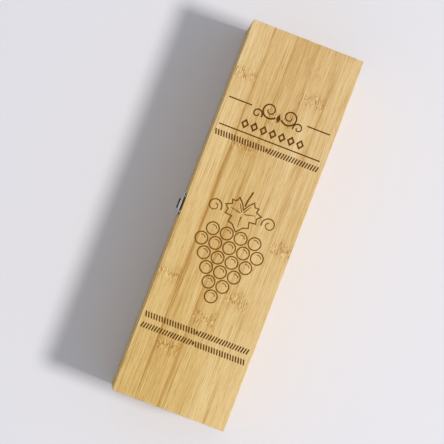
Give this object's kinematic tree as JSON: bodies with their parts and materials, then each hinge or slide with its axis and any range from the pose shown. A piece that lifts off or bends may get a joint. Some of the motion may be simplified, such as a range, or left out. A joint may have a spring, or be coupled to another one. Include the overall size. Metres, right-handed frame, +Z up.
{
  "type": "wooden wine box",
  "caption": "Long hinged bamboo box for one wine bottle, with finger-jointed walls, round-notched bottle rests, an engraved flat lid and a small swinging hasp clasp.",
  "frame": {"origin": "middle of the underside of the box, on the surface it stands on", "axes": "+X along the box from the bottle's neck end to its foot end, -Y out of the front with the clasp, +Y out of the back with the hinges, +Z up out of the lid"},
  "size_m": [0.355, 0.1108, 0.1],
  "materials": {
    "bamboo_board": "laminated bamboo strips, fine sanded, lightly oiled; laser-burnt engraving in the lid",
    "bamboo_inner": "laminated bamboo, fine sanded, raw",
    "nickel_plate": "bright nickel plate on stamped sheet",
    "bright_steel": "plated steel"
  },
  "bodies": {
    "box": {"base_panel": "bamboo_inner", "front_wall": "bamboo_board", "rear_wall": "bamboo_board", "left_end_wall": "bamboo_board", "right_end_wall": "bamboo_board", "neck_rest": "bamboo_inner", "shoulder_rest": "bamboo_inner", "foot_rest": "bamboo_inner", "hinge_left_body_leaf": "nickel_plate", "hinge_left_pin": "bright_steel", "hinge_right_body_leaf": "nickel_plate", "hinge_right_pin": "bright_steel", "hinge_body_screws": "bright_steel", "clasp_catch_plate": "nickel_plate", "clasp_catch_nails": "bright_steel"},
    "lid": {"lid_panel": "bamboo_board", "hinge_left_lid_leaf": "nickel_plate", "hinge_right_lid_leaf": "nickel_plate", "hinge_lid_screws": "bright_steel", "clasp_lid_plate": "nickel_plate", "clasp_lid_nails": "bright_steel", "clasp_pin": "bright_steel"},
    "hasp": {"clasp_hasp": "nickel_plate"}
  },
  "joints": [
    {"name": "lid_hinge", "type": "hinge", "parent": "box", "child": "lid", "pos_m": [0, 0.0514, 0.09], "axis": [-1, 0, 0], "range_deg": [0, 100]},
    {"name": "hasp_swing", "type": "hinge", "parent": "lid", "child": "hasp", "pos_m": [0, -0.0543, 0.0918], "axis": [-1, 0, 0], "range_deg": [0, 150]}
  ]
}
